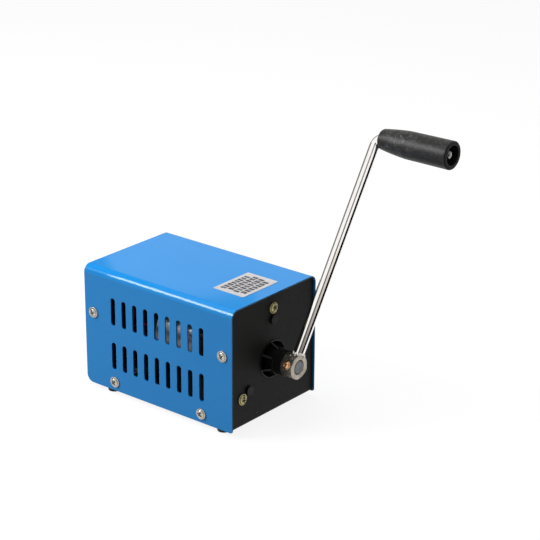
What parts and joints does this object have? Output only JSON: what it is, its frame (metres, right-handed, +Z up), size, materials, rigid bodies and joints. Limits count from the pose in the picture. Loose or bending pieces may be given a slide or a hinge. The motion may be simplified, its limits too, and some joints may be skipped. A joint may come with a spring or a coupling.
{
  "type": "hand crank generator",
  "caption": "Hand crank generator: vented blue sheet-metal box on rubber feet with a black front plate, a long chrome crank arm with a turning grip, geared drive and rear outlets.",
  "frame": {"origin": "on the table, under the middle of the box", "axes": "+Z up, -Y towards the crank and its user, +X to the right seen from the crank side"},
  "size_m": [0.1433, 0.2143, 0.1901],
  "materials": {
    "blue_paint": "smooth satin paint",
    "black_paint": "fine matt black powder coat",
    "screw_nickel": "bright nickel plate",
    "black_rubber": "matt",
    "label_plate": "satin silver foil",
    "black_moulding": "moulded, slightly glossy",
    "yellow_zinc": "yellow zinc plate",
    "bronze": "sintered",
    "bearing_steel": "ground",
    "gear_steel": "machined, oiled",
    "nylon": "natural nylon",
    "motor_steel": "drawn, zinc plated",
    "ferrite": "matt",
    "contact_brass": "turned",
    "copper": "enamelled copper",
    "board_green": "solder mask",
    "capacitor_sleeve": "shrunk sleeve",
    "white_plastic": "moulded",
    "red_plastic": "moulded, glossy",
    "black_gloss": "moulded, glossy",
    "red_insulation": "soft PVC",
    "black_insulation": "soft PVC",
    "boss_nickel": "turned, nickel plated",
    "crank_chrome": "polished chrome",
    "grip_plastic": "moulded, half gloss"
  },
  "bodies": {
    "housing": {"top_cover": "blue_paint", "base_chassis": "black_paint", "cover_screws": "screw_nickel", "rubber_feet": "black_rubber", "foot_screws": "screw_nickel", "top_label": "label_plate", "gearbox_front_case": "black_moulding", "gearbox_screws": "yellow_zinc", "nose_bush": "bronze", "bearing_outer": "bearing_steel", "ring_gear": "black_moulding", "motor_plate": "gear_steel", "case_bolts": "screw_nickel", "motor_screws": "screw_nickel", "motor_can": "motor_steel", "motor_magnets": "ferrite", "motor_end_cap": "black_moulding", "motor_bushes": "bronze", "motor_brushes": "ferrite", "motor_terminals": "contact_brass", "power_board": "board_green", "board_standoffs": "contact_brass", "board_screws": "screw_nickel", "rectifier": "black_moulding", "smoothing_capacitor": "capacitor_sleeve", "choke_coil": "copper", "usb_shell": "screw_nickel", "usb_tongue": "white_plastic", "outlet_red": "red_plastic", "outlet_black": "black_gloss", "outlet_contacts": "contact_brass", "outlet_nuts": "screw_nickel", "switch_body": "black_moulding", "red_leads": "red_insulation", "black_leads": "black_insulation"},
    "crank": {"crank_shaft": "gear_steel", "crank_spacer": "black_moulding", "crank_boss": "boss_nickel", "boss_screws": "yellow_zinc", "crank_rod": "crank_chrome", "grip_washer": "screw_nickel", "grip_nut": "screw_nickel", "bearing_inner": "bearing_steel", "first_carrier": "gear_steel"},
    "grip": {"hand_grip": "grip_plastic"},
    "middle_stage": {"first_sun_gear": "gear_steel", "second_carrier": "gear_steel"},
    "rotor": {"motor_pinion": "gear_steel", "rotor_shaft": "gear_steel", "armature_core": "motor_steel", "armature_windings": "copper", "commutator": "copper"},
    "rocker": {"switch_rocker": "black_gloss"},
    "first_planet_a": {"first_planet_a": "nylon"},
    "second_planet_a": {"second_planet_a": "nylon"},
    "first_planet_b": {"first_planet_b": "nylon"},
    "second_planet_b": {"second_planet_b": "nylon"},
    "first_planet_c": {"first_planet_c": "nylon"},
    "second_planet_c": {"second_planet_c": "nylon"}
  },
  "joints": [
    {"name": "crank_spin", "type": "hinge", "parent": "housing", "child": "crank", "pos_m": [0, -0.0665, 0.0427], "axis": [0, 1, 0], "continuous": true},
    {"name": "grip_spin", "type": "hinge", "parent": "crank", "child": "grip", "pos_m": [0.08734, -0.1159, 0.18033], "axis": [0, 1, 0], "continuous": true},
    {"name": "first_planet_a_spin", "type": "hinge", "parent": "crank", "child": "first_planet_a", "pos_m": [0, -0.0425, 0.0571], "axis": [0, 1, 0], "continuous": true},
    {"name": "first_planet_b_spin", "type": "hinge", "parent": "crank", "child": "first_planet_b", "pos_m": [-0.01247, -0.0425, 0.0355], "axis": [0, 1, 0], "continuous": true},
    {"name": "first_planet_c_spin", "type": "hinge", "parent": "crank", "child": "first_planet_c", "pos_m": [0.01247, -0.0425, 0.0355], "axis": [0, 1, 0], "continuous": true},
    {"name": "middle_stage_spin", "type": "hinge", "parent": "housing", "child": "middle_stage", "pos_m": [0, -0.0355, 0.0427], "axis": [0, 1, 0], "continuous": true},
    {"name": "second_planet_a_spin", "type": "hinge", "parent": "middle_stage", "child": "second_planet_a", "pos_m": [0, -0.0284, 0.0571], "axis": [0, 1, 0], "continuous": true},
    {"name": "second_planet_b_spin", "type": "hinge", "parent": "middle_stage", "child": "second_planet_b", "pos_m": [-0.01247, -0.0284, 0.0355], "axis": [0, 1, 0], "continuous": true},
    {"name": "second_planet_c_spin", "type": "hinge", "parent": "middle_stage", "child": "second_planet_c", "pos_m": [0.01247, -0.0284, 0.0355], "axis": [0, 1, 0], "continuous": true},
    {"name": "rotor_spin", "type": "hinge", "parent": "housing", "child": "rotor", "pos_m": [0, 0.002, 0.0427], "axis": [0, 1, 0], "continuous": true},
    {"name": "rocker_tilt", "type": "hinge", "parent": "housing", "child": "rocker", "pos_m": [0.024, 0.0634, 0.063], "axis": [1, 0, 0], "range_deg": [-18, 0]}
  ],
  "couplings": [
    {"joint": "first_planet_a_spin", "follows": "crank_spin", "ratio": -2.5},
    {"joint": "first_planet_b_spin", "follows": "crank_spin", "ratio": -2.5},
    {"joint": "first_planet_c_spin", "follows": "crank_spin", "ratio": -2.5},
    {"joint": "middle_stage_spin", "follows": "crank_spin", "ratio": 6},
    {"joint": "second_planet_a_spin", "follows": "crank_spin", "ratio": -15},
    {"joint": "second_planet_b_spin", "follows": "crank_spin", "ratio": -15},
    {"joint": "second_planet_c_spin", "follows": "crank_spin", "ratio": -15},
    {"joint": "rotor_spin", "follows": "crank_spin", "ratio": 36}
  ]
}
